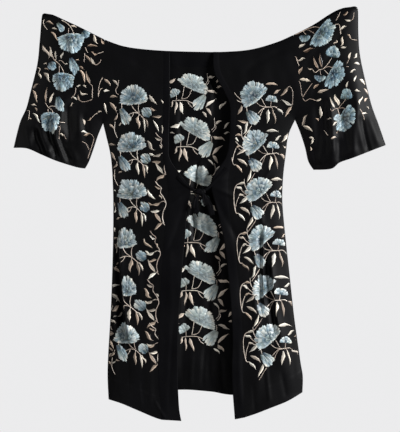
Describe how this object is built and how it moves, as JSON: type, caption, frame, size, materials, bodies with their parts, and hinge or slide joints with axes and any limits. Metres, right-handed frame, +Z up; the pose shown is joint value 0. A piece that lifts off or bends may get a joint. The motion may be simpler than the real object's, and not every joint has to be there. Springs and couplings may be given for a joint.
{
  "type": "embroidered silk jacket",
  "caption": "Straight-cut open-front silk jacket with wide sleeves, band and waist ties, hung up flat by its sleeve tops.",
  "frame": {"origin": "middle of the line that joins the two hanging places on the sleeve tops, in the plane where the fronts and the back are sewn together", "axes": "+Z up, the fronts face -Y, +X to the viewer's right as the front is looked at"},
  "size_m": [1.116, 0.0586, 1.2397],
  "materials": {
    "black_silk": "black crepe silk with a soft satin sheen",
    "band_silk": "the same silk folded double, a little smoother",
    "thread_blue": "floss silk satin stitch, pale grey blue",
    "thread_cream": "floss silk satin stitch, cream to tan"
  },
  "bodies": {
    "root": {"back": "black_silk", "front_left": "black_silk", "front_right": "black_silk", "sleeve_left_front": "black_silk", "sleeve_left_back": "black_silk", "sleeve_right_front": "black_silk", "sleeve_right_back": "black_silk", "neck_band": "band_silk", "front_band_left": "band_silk", "front_band_right": "band_silk", "tie_knot": "band_silk", "tie_left": "band_silk", "tie_right": "band_silk", "tie_end_left": "band_silk", "tie_end_right": "band_silk", "bow_loop_left": "band_silk", "bow_loop_right": "band_silk"}
  },
  "joints": []
}
